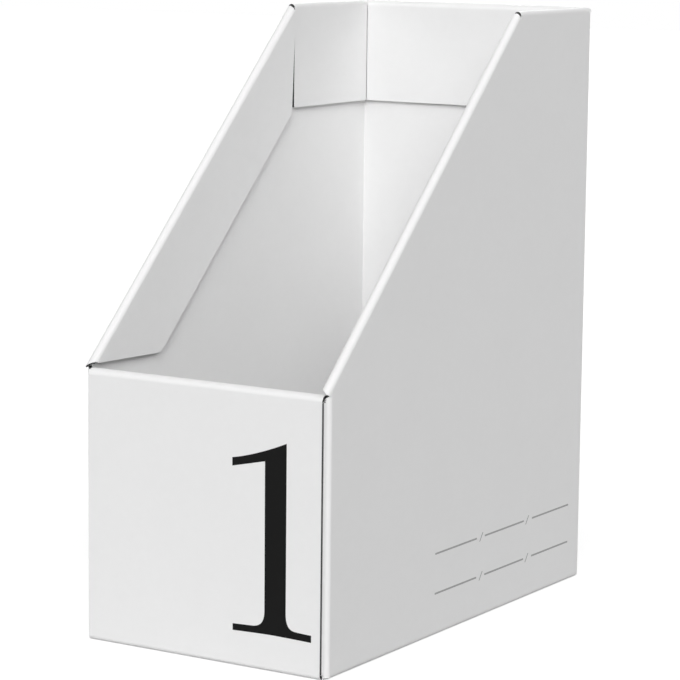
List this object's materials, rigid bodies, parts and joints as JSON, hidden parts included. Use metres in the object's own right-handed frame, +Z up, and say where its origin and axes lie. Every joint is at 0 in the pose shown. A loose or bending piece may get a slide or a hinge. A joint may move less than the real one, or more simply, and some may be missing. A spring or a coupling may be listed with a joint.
{
  "type": "magazine holder",
  "caption": "Open-topped magazine holder of folded white board with a low front, sloping sides and hems that fold back on themselves.",
  "frame": {"origin": "on the ground under the middle of the holder's overall box", "axes": "+Z up, -Y towards the low front, +X to the right-hand side seen from the front"},
  "size_m": [0.142, 0.262, 0.31],
  "materials": {
    "coated_board": "white coated fine-flute corrugated board, matt"
  },
  "bodies": {
    "holder": {"floor_panel": "coated_board", "left_side_panel": "coated_board", "right_side_panel": "coated_board", "front_outer_panel": "coated_board", "back_panel": "coated_board", "left_front_tab": "coated_board", "right_front_tab": "coated_board", "left_rear_tab": "coated_board", "right_rear_tab": "coated_board", "floor_left_crease": "coated_board", "floor_right_crease": "coated_board", "floor_front_crease": "coated_board", "floor_back_crease": "coated_board", "left_front_crease": "coated_board", "right_front_crease": "coated_board", "left_rear_crease": "coated_board", "right_rear_crease": "coated_board", "front_top_roll": "coated_board", "back_top_roll": "coated_board", "left_top_roll": "coated_board", "right_top_roll": "coated_board", "left_slant_roll": "coated_board", "right_slant_roll": "coated_board"},
    "front_inner": {"front_inner_panel": "coated_board"},
    "back_flap": {"back_top_flap": "coated_board"},
    "left_top": {"left_top_flap": "coated_board"},
    "right_top": {"right_top_flap": "coated_board"},
    "left_slant": {"left_slant_flap": "coated_board"},
    "right_slant": {"right_slant_flap": "coated_board"}
  },
  "joints": [
    {"name": "front_inner_panel_fold", "type": "hinge", "parent": "holder", "child": "front_inner", "pos_m": [0, -0.1277, 0.1337], "axis": [1, 0, 0], "range_deg": [0, 178], "deforming": ["front_top_roll"]},
    {"name": "back_top_flap_fold", "type": "hinge", "parent": "holder", "child": "back_flap", "pos_m": [0, 0.1277, 0.3067], "axis": [-1, 0, 0], "range_deg": [0, 178], "deforming": ["back_top_roll"]},
    {"name": "left_top_flap_fold", "type": "hinge", "parent": "holder", "child": "left_top", "pos_m": [-0.06875, 0, 0.30775], "axis": [0, -1, 0], "range_deg": [0, 178], "deforming": ["left_top_roll"]},
    {"name": "left_slant_flap_fold", "type": "hinge", "parent": "holder", "child": "left_slant", "pos_m": [-0.06875, -0.12945, 0.13637], "axis": [0, -0.7249, -0.6889], "range_deg": [0, 178], "deforming": ["left_slant_roll"]},
    {"name": "right_top_flap_fold", "type": "hinge", "parent": "holder", "child": "right_top", "pos_m": [0.06875, 0, 0.30775], "axis": [0, 1, 0], "range_deg": [0, 178], "deforming": ["right_top_roll"]},
    {"name": "right_slant_flap_fold", "type": "hinge", "parent": "holder", "child": "right_slant", "pos_m": [0.06875, -0.12945, 0.13637], "axis": [0, 0.7249, 0.6889], "range_deg": [0, 178], "deforming": ["right_slant_roll"]}
  ]
}
